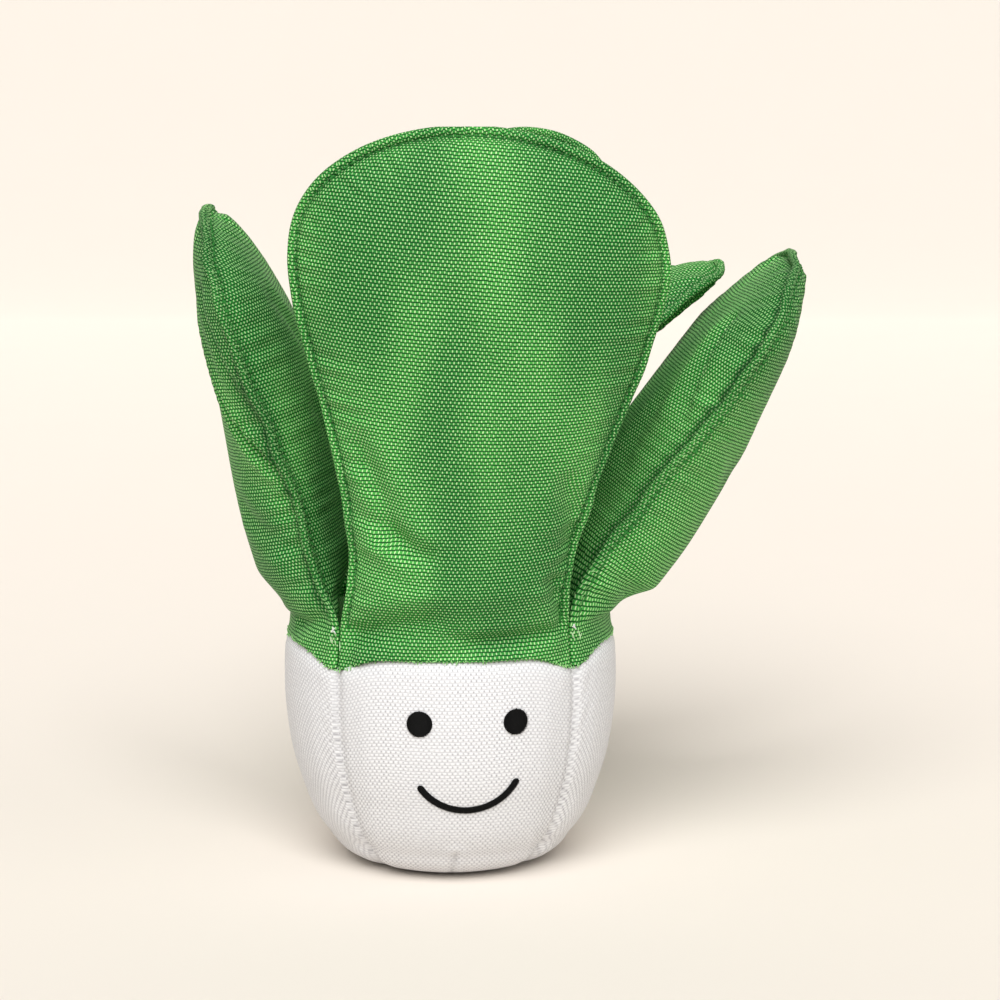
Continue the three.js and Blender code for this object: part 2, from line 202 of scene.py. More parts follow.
def ripple(place, seed, longest, shortest, waves=7):
    """Irregular wave of about unit height along a line, the same on every run."""
    draw = np.random.default_rng(seed)
    lengths = draw.uniform(shortest, longest, waves)
    phases = draw.uniform(0, 2 * math.pi, waves)
    parts = [np.sin(2 * math.pi * place / size + phase) for size, phase in zip(lengths, phases)]
    return sum(parts) / math.sqrt(waves / 2)


def segment_distance(x, y, start, end):
    (ax, ay), (bx, by) = start, end
    run = np.array([bx - ax, by - ay], float)
    share = np.clip(((x - ax) * run[0] + (y - ay) * run[1]) / (run @ run), 0, 1)
    return np.hypot(x - ax - share * run[0], y - ay - share * run[1])


def crease_depth(x, y, start, end, half_width, depth, lap=0.0):
    """A tapered groove with a low ridge on both sides; a lap adds a swell on the left of its way."""
    (ax, ay), (bx, by) = start, end
    away = segment_distance(x, y, start, end) / half_width
    groove = hump(away, 0, 1) - CREASE_RIDGE * hump(away, 2.2, 1)
    left = (bx - ax) * (y - ay) - (by - ay) * (x - ax) > 0
    share = ((x - ax) * (bx - ax) + (y - ay) * (by - ay)) / ((bx - ax) ** 2 + (by - ay) ** 2)
    swell = np.where(left, lap, 0.0) * smooth(share / 0.7)
    taper = smooth(np.minimum(share, 1 - share) / CREASE_TAPER + 0.5)
    return (depth * groove - swell * hump(away, 1.9, 1.1)) * taper


bulb_radius = curve_through([(height, radius) for radius, height in BULB_PROFILE])


def border_height(share):
    """Height of the green hem on a gore, which dips towards the seams."""
    return BORDER_HEIGHT - BORDER_DIP * hump(np.abs(share), 1, BORDER_DIP_WIDTH)


def turned(points, degrees):
    c, s = math.cos(math.radians(degrees)), math.sin(math.radians(degrees))
    return points @ np.array([[c, s, 0], [-s, c, 0], [0, 0, 1]])


# Meshes from grids of points

class Sewing:
    """Collects grids of points with cloth coordinates and shade, and welds them into one mesh."""

    def __init__(self):
        self.points, self.cloth, self.shade, self.quads, self.count = [], [], [], [], 0

    def add(self, points, cloth, shade=None):
        rows, columns = points.shape[:2]
        index = self.count + np.arange(rows * columns).reshape(rows, columns)
        corners = (index[:-1, :-1], index[:-1, 1:], index[1:, 1:], index[1:, :-1])
        self.quads.append(np.stack(corners, -1).reshape(-1, 4))
        self.points.append(points.reshape(-1, 3))
        self.cloth.append(cloth.reshape(-1, 2))
        self.shade.append(np.zeros(rows * columns) if shade is None else shade.ravel())
        self.count += rows * columns
        return index

    def strip(self, row_a, row_b, cloth_a, cloth_b):
        self.add(np.stack([row_a, row_b]), np.stack([cloth_a, cloth_b]))

    def mesh(self, name, scale=MM):
        points, cloth = np.concatenate(self.points), np.concatenate(self.cloth)
        keys = np.round(points, 4) + 0.0
        _, first, weld = np.unique(keys, axis=0, return_index=True, return_inverse=True)
        weld = weld.reshape(-1)
        faces, corners = [], []
        for quad in np.concatenate(self.quads):
            kept = [k for n, k in enumerate(quad) if weld[k] != weld[quad[n - 1]]]
            if len({int(weld[k]) for k in kept}) >= 3:
                faces.append([int(weld[k]) for k in kept])
                corners.extend(kept)
        mesh = bpy.data.meshes.new(name)
        mesh.from_pydata((points[first] * scale).tolist(), [], faces)
        layer = mesh.uv_layers.new(name="cloth")
        layer.data.foreach_set("uv", (cloth[corners] / UV_UNIT).ravel())
        shade = np.zeros(len(first))
        np.maximum.at(shade, weld, np.concatenate(self.shade))
        mesh.attributes.new("shade", "FLOAT", "POINT").data.foreach_set("value", shade)
        outward(mesh)
        return mesh, weld


def outward(mesh):
    work = bmesh.new()
    work.from_mesh(mesh)
    bmesh.ops.recalc_face_normals(work, faces=work.faces)
    work.to_mesh(mesh)
    work.free()
    mesh.shade_smooth()


def new_object(name, mesh):
    piece = bpy.data.objects.new(name, mesh)
    bpy.context.scene.collection.objects.link(piece)
    return piece


# Filling: cloth under pressure, sewn down at its seams

SIM_SCALE = 0.02
SIM_FRAMES = 20


def corner_places(mesh):
    places = np.empty(len(mesh.vertices) * 3)
    mesh.vertices.foreach_get("co", places)
    return places.reshape(-1, 3)


def capped(move, most):
    size = np.linalg.norm(move, axis=-1, keepdims=True)
    return move * (most * np.tanh(size / most) / np.maximum(size, 1e-9))


def filling_moves(mesh, sewn, pressure, slack, most):
    """Moves in millimetres of a closed cloth that is blown up with its sewn points held."""
    start = corner_places(mesh)
    piece = new_object("filling", mesh)
    held = piece.vertex_groups.new(name="sewn")
    held.add([int(i) for i in sewn], 1.0, "REPLACE")
    cloth = piece.modifiers.new("filling", "CLOTH")
    settings = cloth.settings
    settings.quality = 6
    settings.mass = 0.06
    settings.tension_stiffness = settings.compression_stiffness = 12
    settings.shear_stiffness = 5
    settings.bending_stiffness = 0.25
    settings.vertex_group_mass = "sewn"
    settings.use_pressure = True
    settings.uniform_pressure_force = pressure
    settings.shrink_min = -slack
    settings.effector_weights.gravity = 0
    cloth.point_cache.frame_end = SIM_FRAMES
    scene = bpy.context.scene
    for number in range(1, SIM_FRAMES + 1):
        scene.frame_set(number)
    end = corner_places(piece.evaluated_get(bpy.context.evaluated_depsgraph_get()).to_mesh())
    bpy.data.objects.remove(piece)
    bpy.data.meshes.remove(mesh)
    scene.frame_set(1)
    return capped((end - start) / SIM_SCALE, most)


def cubic_weights(places, count):
    """Rows of Catmull-Rom weights that read a line of samples at the given places."""
    weights = np.zeros((len(places), count))
    low = np.clip(np.floor(places).astype(int), 0, count - 2)
    t = places - low
    terms = (
        -0.5 * t**3 + t**2 - 0.5 * t, 1.5 * t**3 - 2.5 * t**2 + 1,
        -1.5 * t**3 + 2 * t**2 + 0.5 * t, 0.5 * t**3 - 0.5 * t**2,
    )
    for offset, term in zip((-1, 0, 1, 2), terms):
        np.add.at(weights, (np.arange(len(places)), np.clip(low + offset, 0, count - 1)), term)
    return weights


def refined(moves, row_places, column_count):
    """Moves on a coarse grid, read at finer rows and columns."""
    rows, columns = moves.shape[:2]
    row_weights = cubic_weights(row_places, rows)
    column_weights = cubic_weights(np.linspace(0, columns - 1, column_count), columns)
    return np.einsum("ri,ijk,cj->rck", row_weights, moves, column_weights)


# Padded leaves

RIM_SHARE = 0.22        # share of the rings that lie in the rim
RIM_RINGS = 3.4         # the rim's rings end this far from the edge
FULL_BEND = 72.0        # a rim turned this far lies on the face
BEND_WAVE = 9.0         # degrees by which a turned rim waves
STITCH_FADE = 6.0       # sewn detail begins over this length above the crotch
GROOVE_DEPTH = 0.9
PUCKER_HEIGHT = 0.5
KNOBBLE_HEIGHT = 0.16
RUFFLE_HEIGHT = 0.3
LEAF_PRESSURE = 12.0
LEAF_SLACK = 0.02
LEAF_CAP = 1.5
HALF_COUNT = 215
RING_COUNT = 40
COLLAR_ROWS = 14


class Leaf:
    """A leaf's surfaces. Across is measured round the cross-section's arc and along is up the midrib."""

    def __init__(self, azimuth, length, wide, lean, cup, outer_puff, inner_puff, creases,
                 drift=((0, 0), (1, 0)), twist=0.0, skew=0.0, bend=(0, 0), foot=FOOT, base=BASE_RADIUS):
        self.azimuth, self.length, self.wide, self.foot = azimuth, length, wide, foot
        self.twist, self.skew, self.bend, self.creases = math.radians(twist), skew, bend, creases
        self.lean, self.cup, self.drift = curve_through(lean), curve_through(cup), curve_through(drift)
        self.puff = {"outer": curve_through(outer_puff), "inner": curve_through(inner_puff)}
        steps = 240
        middle = np.radians(self.lean((np.arange(steps) + 0.5) / steps))
        step = length / steps
        self.stations = np.arange(steps + 1) * step
        self.radii = base + step * np.concatenate([[0], np.cumsum(np.sin(middle))])
        self.heights = CROTCH_HEIGHT + step * np.concatenate([[0], np.cumsum(np.cos(middle))])
        shares = 1 - (1 - np.linspace(0, 1, 900)) ** 2
        self.edge = np.stack([self.half_width(shares), shares * length], -1)
        run = np.linalg.norm(np.diff(self.edge, axis=0), axis=1)
        self.edge_run = np.concatenate([[0], np.cumsum(run)])
        self.edge_shares = shares

    def half_width(self, share):
        waist = WAIST * self.foot
        low = waist + (self.foot - waist) * hump(share, 0, WAIST_RISE)
        rising = low + (self.wide - low) * smooth((share / SHOULDER) ** 1.25)
        tip = self.wide * np.sqrt(np.clip(1 - ((share - SHOULDER) / (1 - SHOULDER)) ** 2, 0, 1))
        return np.where(share < SHOULDER, rising, tip)

    def middle(self, across, along):
        along = along - self.skew * across * smooth(along / self.length)
        share = along / self.length
        radius = np.interp(along, self.stations, self.radii)
        height = np.interp(along, self.stations, self.heights)
        lean, cup, turn = np.radians(self.lean(share)), self.cup(share), self.twist * smooth(share)
        sideways, sag = np.sin(cup * across) / cup, (1 - np.cos(cup * across)) / cup
        sideways, sag = (sideways * np.cos(turn) - sag * np.sin(turn),
                         sideways * np.sin(turn) + sag * np.cos(turn))
        level = np.zeros_like(share)
        out = np.stack([np.cos(lean), level, -np.sin(lean)], -1)
        point = np.stack([radius, sideways + self.drift(share), height], -1) - sag[..., None] * out
        angle = cup * across + turn
        normal = np.cos(angle)[..., None] * out + np.stack([level, np.sin(angle), level], -1)
        return point, normal

    def edge_distance(self, across, along):
        """Distance to the leaf's outline, from places on the flat leaf."""
        corners = self.edge[::3]
        start, run = corners[:-1], np.diff(corners, axis=0)
        size = np.sum(run * run, axis=1)
        flat = np.stack([np.abs(across).ravel(), along.ravel()], -1)
        nearest = []
        for n in range(0, len(flat), 2000):
            offset = flat[n:n + 2000, None] - start
            share = np.clip(np.sum(offset * run, axis=2) / size, 0, 1)
            nearest.append(np.min(np.linalg.norm(offset - share[..., None] * run, axis=2), axis=1))
        edge = np.concatenate(nearest).reshape(across.shape)
        edge[:, 0] = 0.0
        return edge

    def layout(self, half_count, ring_count):
        """Places on the flat leaf, from the edge (first column) to the spine.

        Gives the place across and along, the edge's run up to it, and its share of the way to the spine.
        """
        run = np.linspace(0, self.edge_run[-1], half_count)
        share = np.interp(run, self.edge_run, self.edge_shares)
        width = self.half_width(share)
        width[-1] = 0.0
        share = np.concatenate([share, share[-2::-1]])
        width = np.concatenate([-width, width[-2::-1]])
        run = np.concatenate([run, 2 * run[-1] - run[-2::-1]])
        spine = np.minimum(share, SPINE_TOP)
        reach = np.hypot(width, (share - spine) * self.length)
        place = np.linspace(0, 1, ring_count)
        inner = np.clip((place - RIM_SHARE) / (1 - RIM_SHARE), 0, 1)
        rim = np.minimum(place / RIM_SHARE, 1) * RIM_RINGS
        depth = rim + (reach[:, None] - RIM_RINGS) * inner
        ratio = depth / reach[:, None]
        across = width[:, None] * (1 - ratio)
        along = (share[:, None] * (1 - ratio) + spine[:, None] * ratio) * self.length
        across[:, -1] = 0.0
        return across, along, np.broadcast_to(run[:, None], across.shape), ratio

    def face_height(self, along, edge, side):
        """Height of a face's padding over the middle surface."""
        swell = lerp(PUFF_START[side], 1, smooth(along / PUFF_LENGTH[side]))
        rise = 1 - np.exp(-np.maximum(edge - RIM_WIDTH, 0) / PUFF_RISE)
        puff = (self.puff[side](along / self.length) - RIM_HALF) * rise * swell
        round_edge = lerp(CROTCH_ROUND, RIM_ROUND, smooth(along / 8))
        welt = RIM_HALF * np.sqrt(1 - (1 - np.minimum(edge / round_edge, 1)) ** 2)
        return welt + puff

    def folds(self, across, along, side):
        """Depth of a face's creases."""
        creases = [crease[1:] for crease in self.creases if crease[0] == side]
        return sum((crease_depth(across, along, *crease) for crease in creases), np.zeros_like(along))

    def detail(self, across, along, edge, run, ratio, side):
        """Sewn detail on a face: the stitch line's groove, puckers beside it, and creases."""
        seed = 11 if side == "outer" else 29
        above = smooth(along / STITCH_FADE)
        needle = np.cos(2 * math.pi * run / STITCH_PITCH)
        groove = -GROOVE_DEPTH * hump(edge, RIM_WIDTH, 0.7) * (0.65 + 0.35 * needle) * above
        inside = np.maximum(edge - RIM_WIDTH, 0)
        fade = np.exp(-inside / 5.5) * (1 - np.exp(-inside / 1.2)) * (1 - ratio**4)
        pucker = PUCKER_HEIGHT * ripple(run, seed, 10.0, 4.2) * fade * above
        knobbly = KNOBBLE_HEIGHT * needle * hump(edge, 1.3, 0.9) * above
        return groove + pucker + knobbly - self.folds(across, along, side) * smooth(edge / 6)

    def rim_bend(self, run):
        """Degrees that the rim turns towards the outer face, from one edge of the leaf to the other."""
        return lerp(*self.bend, smooth((run / run[-1] - 0.38) / 0.24))

    def face_shade(self, across, along, edge, run, side):
        """Painted shade: dark dashes in the groove where the topstitches pull in, painted shadow under the
        turned rim's free edge and under laps, and a darker band on turned rims.
        """
        needle = 0.55 + 0.45 * np.cos(2 * math.pi * run / STITCH_PITCH)
        lean = np.clip((1 if side == "outer" else -1) * self.rim_bend(run) / FULL_BEND, -1, 1)
        dashes = hump(edge, RIM_WIDTH, 0.55) * needle * (1 - 0.4 * np.abs(lean))
        shadow = np.maximum(lean, 0) * hump(edge, 1.5 * RIM_WIDTH, 0.6)
        band = 0.35 * np.abs(lean) * smooth(RIM_WIDTH - edge)
        lapped = [crease[1:3] for crease in self.creases if crease[0] == side and len(crease) > 5]
        laps = sum(hump(segment_distance(across, along, *ends), 0, 0.9) for ends in lapped)
        return (dashes + shadow + band + 0.6 * laps) * smooth(along / STITCH_FADE)

    def ruffle(self, along, edge, run, ratio):
        """The rim waves a little as one, on both faces alike."""
        fade = np.exp(-edge / 6) * smooth(along / 18) * (1 - ratio**4)
        return RUFFLE_HEIGHT * ripple(run, 5, 34.0, 13.0) * fade


def blown_moves(leaf, half_count=56, ring_count=13):
    """How far the filling pushes each face of a leaf, on a coarse layout."""
    across, along, run, ratio = leaf.layout(half_count, ring_count)
    edge = leaf.edge_distance(across, along)
    point, normal = leaf.middle(across, along)
    sewing, cloth = Sewing(), np.stack([across, along], -1)
    faces = {}
    for side, sign in (("outer", 1), ("inner", -1)):
        height = leaf.face_height(along, edge, side)
        height += leaf.detail(across, along, edge, run, ratio, side) * 0.5
        faces[side] = sewing.add(point + sign * height[..., None] * normal, cloth)
    outer, inner = (base_row(index) for index in faces.values())
    sewing.quads.append(np.stack([outer[:-1], outer[1:], inner[1:], inner[:-1]], -1))
    mesh, weld = sewing.mesh("filling", SIM_SCALE)
    held = (edge <= RIM_WIDTH) | (along <= 0.01)
    sewn = np.unique(np.concatenate([weld[index[held]] for index in faces.values()]))
    move = filling_moves(mesh, sewn, LEAF_PRESSURE, LEAF_SLACK, LEAF_CAP)
    return {side: move[weld[index]] for side, index in faces.items()}


def rim_fold(leaf, point, normal, along, edge, run):
    """Turns the rim about its stitch line: each place's move, and its direction away from the middle."""
    line = edge_line(point, edge, RIM_WIDTH)
    out = (point[:, 0] - line) / np.linalg.norm(point[:, 0] - line, axis=1, keepdims=True)
    bend = leaf.rim_bend(run[:, 0]) + BEND_WAVE * ripple(run[:, 0], 17, 60.0, 25.0)
    bend = np.radians(bend * smooth(along[:, 0] / 14))[:, None]
    beyond = np.maximum(RIM_WIDTH - edge, 0)[..., None]
    turn = bend * smooth(RIM_WIDTH + 0.5 - edge)
    move = beyond * (np.sin(bend)[..., None] * normal + (np.cos(bend)[..., None] - 1) * out[:, None])
    return move, np.cos(turn)[..., None] * normal - np.sin(turn)[..., None] * out[:, None]


def cloth_places(grid, across, along):
    """Cloth coordinates of a face: the flat leaf's, with lengths from the spine taken over the padding."""
    steps = np.linalg.norm(np.diff(grid, axis=1), axis=2)
    reach = np.concatenate([np.cumsum(steps[:, ::-1], axis=1)[:, ::-1], np.zeros((len(grid), 1))], axis=1)
    flat = np.stack([across, along], -1)
    spine = flat[:, -1:]
    way = (flat - spine)[:, :1]
    return spine + way / np.linalg.norm(way, axis=2, keepdims=True) * reach[..., None]


def leaf_faces(leaf, simulate):
    """The two finished faces of a leaf, with the places that stitches and collars need."""
    across, along, run, ratio = leaf.layout(HALF_COUNT, RING_COUNT)
    edge = leaf.edge_distance(across, along)
    point, normal = leaf.middle(across, along)
    wave = leaf.ruffle(along, edge, run, ratio)
    fold, away = rim_fold(leaf, point, normal, along, edge, run)
    moves = blown_moves(leaf) if simulate else None
    faces, shades = {}, {}
    for side, sign in (("outer", 1), ("inner", -1)):
        shades[side] = np.minimum(leaf.face_shade(across, along, edge, run, side), 1)
        height = leaf.face_height(along, edge, side)
        height = height + leaf.detail(across, along, edge, run, ratio, side)
        height[:, 0] = 0.0
        placed = point + fold + wave[..., None] * normal + sign * height[..., None] * away
        if moves is not None:
            row_places = np.linspace(0, len(moves[side]) - 1, len(across))
            moved = refined(moves[side], row_places, RING_COUNT)
            placed = placed + moved * smooth((edge - RIM_WIDTH) / 2)[..., None]
        faces[side] = placed
    return faces, shades, across, along, edge


def base_row(grid):
    """A face's lowest row, from one side of the leaf to the other."""
    return np.concatenate([grid[0], grid[-1, ::-1][1:]])


def collar_grid(leaf, outer, across, cloth_row, inset):
    """Green cloth below the crotch: it follows the bulb from the hem up to the leaf's lowest row."""
    row, places = base_row(outer), base_row(across)
    angle = places / BASE_RADIUS
    share = places / leaf.foot
    dent = np.hypot(row[:, 0], row[:, 1]) - bulb_radius(CROTCH_HEIGHT)
    rise = np.linspace(0, 1, COLLAR_ROWS)[:, None]
    height = lerp(border_height(share)[None], row[:, 2][None], rise)
    hem = HEM_LIFT * hump(height, border_height(share), 1.6)
    folds = leaf.folds(places[None], height - CROTCH_HEIGHT, "outer")
    folds = (folds - folds[-1:]) * smooth((leaf.foot - np.abs(places)) / 9)[None]
    radius = bulb_radius(height) + dent[None] + hem - folds - inset
    points = np.stack([radius * np.cos(angle), radius * np.sin(angle), height], -1)
    if inset == 0:
        points[-1] = row
    cloth = np.stack([np.broadcast_to(cloth_row[:, 0], height.shape), height - CROTCH_HEIGHT], -1)
    return points, cloth


def edge_line(grid, edge, distance):
    """The line on a face that is a given distance away from the edge."""
    rows, column = np.arange(len(edge)), np.argmax(edge >= distance, axis=1)
    before, after = edge[rows, column - 1], edge[rows, column]
    share = (distance - before) / (after - before)
    return lerp(grid[rows, column - 1], grid[rows, column], share[:, None])


def leaf_mesh(name, leaf, simulate, has_collar):
    """A leaf's mesh, and the lines on each face that its stitches follow."""
    faces, shades, across, along, edge = leaf_faces(leaf, simulate)
    cloths = {side: cloth_places(grid, across, along) for side, grid in faces.items()}
    sewing = Sewing()
    for side, grid in faces.items():
        sewing.add(grid, cloths[side], shades[side])
    inner_row, cloth_row = base_row(faces["inner"]), base_row(cloths["outer"])
    if has_collar:
        shown, shown_cloth = collar_grid(leaf, faces["outer"], across, cloth_row, 0)
        hidden, hidden_cloth = collar_grid(leaf, faces["outer"], across, cloth_row, CLOTH)
        sewing.add(shown, shown_cloth)
        sewing.add(hidden, hidden_cloth)
        sewing.strip(hidden[-1], inner_row, cloth_row, cloth_row)
        sewing.strip(shown[0], hidden[0], shown_cloth[0], shown_cloth[0])
        for side in (0, -1):
            sewing.strip(shown[:, side], hidden[:, side], shown_cloth[:, side], shown_cloth[:, side])
    else:
        sewing.strip(base_row(faces["outer"]), inner_row, cloth_row, cloth_row)
    sewing.points = [turned(points, leaf.azimuth) for points in sewing.points]
    mesh, _ = sewing.mesh(name)
    lines = {distance: [turned(edge_line(grid, edge, distance), leaf.azimuth) for grid in faces.values()]
             for distance in (RIM_WIDTH, *OVERLOCK_REACH)}
    return mesh, lines


# Stitches: one thread shape on points that carry their direction and length

def stitch_tree(segments=7, rings=5):
    tree = bpy.data.node_groups.new("sewn_stitches", "GeometryNodeTree")
    face = tree.interface
    face.new_socket("Geometry", in_out="INPUT", socket_type="NodeSocketGeometry")
    face.new_socket("Thread radius", in_out="INPUT", socket_type="NodeSocketFloat")
    face.new_socket("Thread", in_out="INPUT", socket_type="NodeSocketMaterial")
    face.new_socket("Geometry", in_out="OUTPUT", socket_type="NodeSocketGeometry")

    def node(kind, settings=None, **inputs):
        made = tree.nodes.new(kind)
        for key, value in (settings or {}).items():
            setattr(made, key, value)
        for key, value in inputs.items():
            socket = made.inputs[key.replace("_", " ")]
            if isinstance(value, bpy.types.NodeSocket):
                tree.links.new(value, socket)
            else:
                socket.default_value = value
        return made

    given = node("NodeGroupInput").outputs
    run = node("GeometryNodeInputNamedAttribute", {"data_type": "FLOAT_VECTOR"}, Name="run").outputs[0]
    reach = node("GeometryNodeInputNamedAttribute", {"data_type": "FLOAT"}, Name="reach").outputs[0]
    thread = node("GeometryNodeMeshUVSphere", Segments=segments, Rings=rings, Radius=given["Thread radius"])
    turn = node("FunctionNodeAlignRotationToVector", {"axis": "Z"}, Vector=run).outputs[0]
    stretch = node("ShaderNodeMath", {"operation": "DIVIDE"})
    tree.links.new(reach, stretch.inputs[0])
    tree.links.new(given["Thread radius"], stretch.inputs[1])
    half = node("ShaderNodeMath", {"operation": "MULTIPLY"})
    tree.links.new(stretch.outputs[0], half.inputs[0])
    half.inputs[1].default_value = 0.5
    size = node("ShaderNodeCombineXYZ", X=1.0, Y=1.0, Z=half.outputs[0]).outputs[0]
    placed = node("GeometryNodeInstanceOnPoints", Points=given["Geometry"], Instance=thread.outputs["Mesh"],
                  Rotation=turn, Scale=size)
    real = node("GeometryNodeRealizeInstances", Geometry=placed.outputs[0])
    shaded = node("GeometryNodeSetShadeSmooth", Geometry=real.outputs[0])
    dyed = node("GeometryNodeSetMaterial", Geometry=shaded.outputs[0], Material=given["Thread"])
    node("NodeGroupOutput", Geometry=dyed.outputs[0])
    return tree


STITCHES = stitch_tree()


def stitched(name, points, runs, reaches, radius, thread):
    """A piece made of stitches, each with its middle point, direction and length in millimetres."""
    mesh = bpy.data.meshes.new(name)
    mesh.from_pydata((np.asarray(points) * MM).tolist(), [], [])
    mesh.attributes.new("run", "FLOAT_VECTOR", "POINT").data.foreach_set("vector", np.asarray(runs).ravel())
    mesh.attributes.new("reach", "FLOAT", "POINT").data.foreach_set("value", np.asarray(reaches) * MM)
    piece = new_object(name, mesh)
    sewn = piece.modifiers.new("stitches", "NODES")
    sewn.node_group = STITCHES
    values = {"Thread radius": radius * MM, "Thread": thread}
    for socket in STITCHES.interface.items_tree:
        if socket.in_out == "INPUT" and socket.name in values:
            sewn[socket.identifier] = values[socket.name]
    plain = bpy.data.meshes.new_from_object(piece.evaluated_get(bpy.context.evaluated_depsgraph_get()))
    piece.modifiers.remove(sewn)
    piece.data = plain
    bpy.data.meshes.remove(mesh)
    plain.name = name
    return piece


def on_line(line, marks, where):
    """Places on a line whose points lie at the given marks."""
    return np.stack([np.interp(where, marks, line[:, k]) for k in range(3)], -1)


def rim_stitches(name, lines, thread):
    """Topstitches at even steps along the lines round a leaf's rim, one line on each face."""
    points, runs = [], []
    for line in lines:
        marks = np.concatenate([[0], np.cumsum(np.linalg.norm(np.diff(line, axis=0), axis=1))])
        places = np.arange(STITCH_START, marks[-1] - STITCH_START, STITCH_PITCH)
        run = on_line(line, marks, places + 0.3) - on_line(line, marks, places - 0.3)
        points.append(on_line(line, marks, places))
        runs.append(run / np.linalg.norm(run, axis=1, keepdims=True))
    points, runs = np.concatenate(points), np.concatenate(runs)
    return stitched(name, points, runs, np.full(len(points), STITCH_LENGTH), STITCH_RADIUS, thread)


def overlock(name, starts, ends, thread):
    """Slanting stitches across a leaf's rim, from one line to another, on each face."""
    points, runs = [], []
    for start, end in zip(starts, ends):
        step = np.linalg.norm(np.diff(start, axis=0), axis=1).mean()
        marks = np.arange(len(start))
        places = np.arange(OVERLOCK_START, len(start) - OVERLOCK_START, OVERLOCK_PITCH / step)
        low = on_line(start, marks, places)
        high = on_line(end, marks, places + OVERLOCK_SLANT / step)
        points.append((low + high) / 2)
        runs.append(high - low)
    points, runs = np.concatenate(points), np.concatenate(runs)
    reaches = np.linalg.norm(runs, axis=1)
    return stitched(name, points, runs / reaches[:, None], reaches + 0.2, OVERLOCK_RADIUS, thread)


def frayed_threads(name, places, thread, count, spread, length, radius, seed):
    """Loose thread ends that hang from places on the cloth."""
    draw = np.random.default_rng(seed)
    points = np.repeat(np.atleast_2d(places), count, axis=0)
    points = points + draw.normal(0, spread, points.shape)
    out = points * [1, 1, 0] / np.linalg.norm(points[:, :2], axis=1, keepdims=True)
    runs = draw.normal(0, 0.55, points.shape) + [0, 0, -1] + 0.1 * out
    runs /= np.linalg.norm(runs, axis=1, keepdims=True)
    reaches = length * draw.uniform(0.5, 1.1, len(points))
    return stitched(name, points, runs, reaches, radius, thread)


def crotch_places(azimuths, drop, out):
    """Places at the crotches, at the given angles round the bulb."""
    radius = bulb_radius(CROTCH_HEIGHT - drop) + out
    turns = np.radians(azimuths)
    return np.stack([radius * np.cos(turns), radius * np.sin(turns), 0 * turns + CROTCH_HEIGHT - drop], -1)


# White bulb

GORE_COLUMNS = 61
GORE_ROWS = 74
BOTTOM_ROWS = 10
COARSE_BOTTOM_ROWS = 4
SEAM_DENT = 1.0
SEAM_SHADE = 0.22
DART = ((0.0, 9.5), (-1.0, 0.5))
DART_DENT = 0.9
DART_SHADE = 0.3
HEM_DENT = 0.5
TOP_LIP = 1.2


def gore_places(columns, rows, bottom_rows):
    """Grid of a gore: share across from seam to seam, flat-bottom share, and height share up the wall."""
    share = np.linspace(-1, 1, columns)
    bottom = np.linspace(0, 1, bottom_rows, endpoint=False)
    wall = np.linspace(0, 1, rows - bottom_rows) ** 1.35
    return share, bottom, wall


def gore_grid(azimuth, columns=GORE_COLUMNS, rows=GORE_ROWS, bottom_rows=BOTTOM_ROWS):
    share, bottom, wall = gore_places(columns, rows, bottom_rows)
    angle = np.radians(GORE_HALF * share)
    apex = turned(np.array([*BOTTOM_JUNCTION, 0.0]), -azimuth)
    flat_radius = BULB_PROFILE[0][0]
    rim = np.stack([flat_radius * np.cos(angle), flat_radius * np.sin(angle), 0 * angle], -1)
    floor = lerp(apex, rim[None], bottom[:, None, None])
    height = wall[:, None] * (border_height(share)[None] + 0.3)
    radius = bulb_radius(height)
    seam = (1 - np.abs(share))[None] * math.radians(GORE_HALF) * radius
    up = smooth(height / 7)
    dent = SEAM_DENT * hump(seam, 0, 1.7) - 0.4 * hump(seam, 4.6, 2.6)
    lapped = np.where(share > 0, -0.6, 0.35) * hump(seam, 1.1, 0.75) * smooth(seam / 0.7)
    dart = segment_distance(angle[None] * radius, height, *DART)
    dent = dent + lapped + DART_DENT * hump(dart, 0, 0.8) - 0.5 * hump(dart, 1.9, 1.1)
    pucker = 0.16 * ripple(height + 40 * share[None] ** 2, 71, 12.0, 5.0) * np.exp(-seam / 5)
    hem = HEM_DENT * hump(height, border_height(share)[None], 1.5)
    radius = radius - (dent + hem) * up - pucker * smooth(seam / 2) * up
    wall_points = np.stack([radius * np.cos(angle), radius * np.sin(angle), height], -1)
    points = np.concatenate([floor, wall_points])
    step = np.linalg.norm(np.diff(points[:, columns // 2], axis=0), axis=1)
    climb = np.concatenate([[0], np.cumsum(step)])
    width = np.linalg.norm(points[:, :, :2], axis=2) * angle[None]
    cloth = np.stack([width, np.broadcast_to(climb[:, None], width.shape)], -1)
    # Painted shade: a dark line on the sunken side of each lapped seam, and along the dart's dent.
    line = np.where(share < 0, SEAM_SHADE, 0.0) * hump(seam, 0.35, 0.45)
    line = line + DART_SHADE * hump(dart, 0, 0.5)
    shade = np.concatenate([np.zeros((bottom_rows, columns)), line])
    return points, cloth, shade


GORE_AZIMUTHS = [LEAVES[name]["azimuth"] for name in ("leaf_front", "leaf_right", "leaf_back", "leaf_left")]
BULB_PRESSURE = 14.0
BULB_SLACK = 0.012
BULB_CAP = 0.8


def hem_places(azimuth, pitch=1.1):
    """Places along a collar's lower edge."""
    share = np.arange(-1, 1, pitch / FOOT)
    height = border_height(share)
    angle = np.radians(azimuth + GORE_HALF * share)
    radius = bulb_radius(height) + HEM_LIFT - 0.1
    return np.stack([radius * np.cos(angle), radius * np.sin(angle), height], -1)


